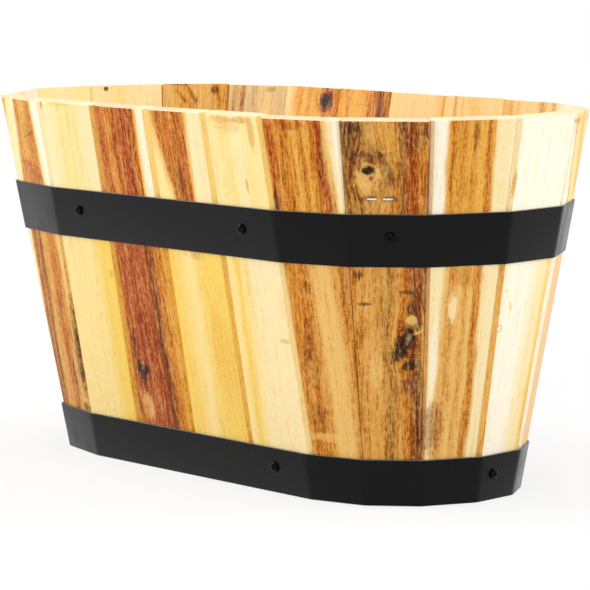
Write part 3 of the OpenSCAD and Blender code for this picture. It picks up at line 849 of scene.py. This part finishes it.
def bare_acacia(name, pale, dark, size, rough):
    """Uncoated acacia: duller than the staves, with bands of a size in millimetres along X, Y
    and Z."""
    material, tree = new_material(name)
    spot = add(tree, "TexCoord").outputs["Object"]

    def grain(size, detail):
        """Noise from 0 to 1 whose features have a size in millimetres."""
        where = add(tree, "Mapping", {
            "Vector": spot, "Scale": tuple(1 / (s * MM) for s in size)}).outputs[0]
        return add(tree, "TexNoise", {
            "Vector": where, "Scale": 1.0, "Detail": detail}).outputs["Fac"]

    broad, fine = grain(size, 3), grain(tuple(s / FINER for s in size), 4)
    ramp = add(tree, "ValToRGB", {"Fac": broad})
    for element, place, sheet in zip(ramp.color_ramp.elements, (0.36, 0.62), (dark, pale)):
        element.position, element.color = place, linear(sheet)
    darker = add(tree, "MapRange", {
        "Value": fine, "From Min": 0.55, "From Max": 0.3, "To Max": 0.5}).outputs[0]
    colour = add(tree, "Mix", {0: darker, 6: ramp.outputs["Color"], 7: linear("9a6a3c")},
                 data_type="RGBA", blend_type="MULTIPLY").outputs[2]
    relief = add(tree, "Bump", {"Strength": 0.5, "Distance": 0.3 * MM, "Height": fine}).outputs[0]
    finish_shader(tree, {"Base Color": colour, "Roughness": rough, "Normal": relief})
    return material


def powder_coat():
    """Black powder coat on steel: satin, with the fine orange peel of the baked powder."""
    material, tree = new_material("black powder-coated steel")
    spot = add(tree, "TexCoord").outputs["Object"]
    peel = add(tree, "TexNoise", {
        "Vector": spot, "Scale": 1 / (1.4 * MM), "Detail": 2.0}).outputs["Fac"]
    rub = add(tree, "TexNoise", {
        "Vector": spot, "Scale": 1 / (30 * MM), "Detail": 5.0}).outputs["Fac"]
    rough = add(tree, "MapRange", {"Value": rub, "From Min": 0.35, "From Max": 0.65,
                                   "To Min": 0.2, "To Max": 0.32}).outputs[0]
    shade = add(tree, "Mix", {0: rub, 6: linear("040404"), 7: linear("090909")},
                data_type="RGBA").outputs[2]
    # a painted highlight along the upper edges, on the faces that look up
    facing = add(tree, "SeparateXYZ", (add(tree, "NewGeometry").outputs["Normal"],)).outputs["Z"]
    painted_highlight = add(tree, "MapRange", {
        "Value": facing, "From Min": 0.15, "From Max": 0.5, "To Max": 0.75}).outputs[0]
    shade = add(tree, "Mix", {0: painted_highlight, 6: shade, 7: linear("8c8c8a")}, data_type="RGBA").outputs[2]
    relief = add(tree, "Bump", {"Strength": 0.25, "Distance": 0.08 * MM, "Height": peel}).outputs[0]
    finish_shader(tree, {"Base Color": shade, "Roughness": rough, "Normal": relief,
                         "Specular IOR Level": 0.14})
    return material


def plated(name, colour, metallic, rough, gloss=0.5):
    """A plated or blackened fastener, finely scuffed by the driver and the bin."""
    material, tree = new_material(name)
    spot = add(tree, "TexCoord").outputs["Object"]
    scuff = add(tree, "TexNoise", {
        "Vector": spot, "Scale": 1 / (0.8 * MM), "Detail": 4.0}).outputs["Fac"]
    spread = add(tree, "MapRange", {
        "Value": scuff, "To Min": rough - 0.08, "To Max": rough + 0.12}).outputs[0]
    relief = add(tree, "Bump", {"Strength": 0.2, "Distance": 0.05 * MM, "Height": scuff}).outputs[0]
    finish_shader(tree, {"Base Color": linear(colour), "Metallic": metallic, "Roughness": spread,
                         "Normal": relief, "Specular IOR Level": gloss})
    return material


# Metres from the tub's middle between which its shadow on the sweep fades out, and how much of
# the shadow plain white covers before that
SHADOW_FADE, SHADOW_COVER = (0.3, 0.8), 0.8


def white_sweep():
    """A matt sweep, which the camera and the gloss on the tub see as white ground, with the
    tub's shadow on it."""
    material, tree = new_material("matt white sweep")
    path = add(tree, "LightPath").outputs
    spot = add(tree, "TexCoord").outputs["Object"]
    far = add(tree, "VectorMath", (spot,), operation="LENGTH").outputs["Value"]
    start, end = SHADOW_FADE
    cover = add(tree, "MapRange", {
        "Value": far, "From Min": start, "From Max": end, "To Min": SHADOW_COVER}).outputs[0]
    seen = path["Is Camera Ray"]
    for ray in ("Is Glossy Ray", "Is Transmission Ray"):
        seen = add(tree, "Math", (seen, path[ray]), operation="MAXIMUM").outputs[0]
    share = add(tree, "Math", (seen, cover), operation="MULTIPLY").outputs[0]
    matt = add(tree, "BsdfDiffuse", {"Color": (0.8, 0.8, 0.8, 1)}).outputs[0]
    glow = add(tree, "Emission", {"Color": (1, 1, 1, 1), "Strength": 1.0}).outputs[0]
    both = add(tree, "MixShader", (share, matt, glow)).outputs[0]
    add(tree, "OutputMaterial", {"Surface": both})
    return material


# ---------------------------------------------------------------- the tub

for k, board in BOARDS.items():
    make_stave(k, coated_acacia(k, board))

steel = powder_coat()
make_band("upper_band", *UPPER_BAND, steel)
make_band("lower_band", *LOWER_BAND, steel)

screw_black = plated("black-oxide screw steel", "020202", metallic=0.0, rough=0.17, gloss=0.1)
pattern = make_screw()
for name, places, (low, high) in (("upper_band_screws", UPPER_SCREWS, UPPER_BAND),
                                  ("lower_band_screws", LOWER_SCREWS, LOWER_BAND)):
    drive_screws(name, pattern, places, (low + high) / 2 + SCREW_RISE, screw_black)
bpy.data.objects.remove(pattern)

zinc = plated("zinc-plated steel", "e6dcc8", metallic=1.0, rough=0.34)
make_staples(zinc)

# the hidden pieces keep their solids
floorboards = bare_acacia("planed acacia base boards", "cfa36b", "a87643", (60, 9, 9), 0.62)
battens = bare_acacia("sawn acacia battens", "b07d49", "85582f", (8, 60, 8), 0.74)
for material, names in ((floorboards, ("front_base_board", "middle_base_board", "back_base_board")),
                        (battens, ("left_batten", "right_batten")),
                        (zinc, ("batten_screws", "stave_nails"))):
    for name in names:
        node = frame["nodes"][name]
        node.data.materials.clear()
        node.data.materials.append(material)

# ---------------------------------------------------------------- the studio

FLOOR_SIZE = 60
FLOOR_DROP = 0.4 * MM       # keeps the floor clear of the tub's level foot
AIM = Vector((0, 0, 0.15))  # what the softboxes are turned to
WORLD_LIGHT = 0.34          # the white room's share in lighting the tub
FOCAL_LENGTH = 218.21
SENSOR_WIDTH = 36

bpy.ops.object.select_all(action="DESELECT")
bpy.ops.mesh.primitive_plane_add(size=FLOOR_SIZE, location=(0, 0, -FLOOR_DROP))
floor = bpy.context.object
floor.name = "studio_floor"
floor.data.materials.append(white_sweep())


def softbox(name, azimuth, elevation, distance, size, level):
    """A square soft light aimed at the tub; level 1 lights a white surface to full white."""
    a, e = math.radians(azimuth), math.radians(elevation)
    towards = Vector((math.cos(a) * math.cos(e), math.sin(a) * math.cos(e), math.sin(e)))
    lamp = bpy.data.lights.new(name, "AREA")
    lamp.shape, lamp.size = "SQUARE", size
    lamp.energy = level * math.pi ** 2 * distance ** 2
    light = bpy.data.objects.new(name, lamp)
    light.location = AIM + towards * distance
    light.rotation_euler = towards.to_track_quat("Z", "Y").to_euler()
    bpy.context.collection.objects.link(light)


softbox("left_softbox", azimuth=-142, elevation=28, distance=2.6, size=1.7, level=0.58)
softbox("right_softbox", azimuth=52, elevation=28, distance=2.6, size=1.7, level=0.6)
softbox("front_softbox", azimuth=-45, elevation=20, distance=3.2, size=1.4, level=0.26)
softbox("overhead_softbox", azimuth=-80, elevation=82, distance=2.4, size=1.8, level=0.5)

world = bpy.data.worlds.new("white studio")
bpy.context.scene.world = world
world.use_nodes = True
sky = world.node_tree
sky.nodes.clear()
path = add(sky, "LightPath").outputs
seen = add(sky, "Math", (path["Is Camera Ray"], path["Is Transmission Ray"]),
           operation="MAXIMUM").outputs[0]
level = add(sky, "MapRange", {"Value": seen, "To Min": WORLD_LIGHT, "To Max": 1.0}).outputs[0]
light = add(sky, "Background", {"Color": (1, 1, 1, 1), "Strength": level}).outputs[0]
add(sky, "OutputWorld", {"Surface": light})

# The camera, fitted to the joints' and bands' ends in the photograph
YAW, PITCH, ROLL = -0.90626, 0.11102, -0.00505
CAMERA_PLACE = (2.379616, -1.852883, 0.481298)
ahead = Vector((math.sin(YAW) * math.cos(PITCH), math.cos(YAW) * math.cos(PITCH), -math.sin(PITCH)))
level_right = Vector((math.cos(YAW), -math.sin(YAW), 0))
level_up = level_right.cross(ahead)
right = level_right * math.cos(ROLL) + level_up * math.sin(ROLL)
up = level_up * math.cos(ROLL) - level_right * math.sin(ROLL)
lens = bpy.data.cameras.new("camera")
lens.lens, lens.sensor_width = FOCAL_LENGTH, SENSOR_WIDTH
camera = bpy.data.objects.new("camera", lens)
turn = Matrix((right, up, -ahead)).transposed().to_4x4()
camera.matrix_world = Matrix.Translation(CAMERA_PLACE) @ turn
bpy.context.collection.objects.link(camera)
bpy.context.scene.camera = camera
bpy.context.scene.view_settings.view_transform = "Standard"
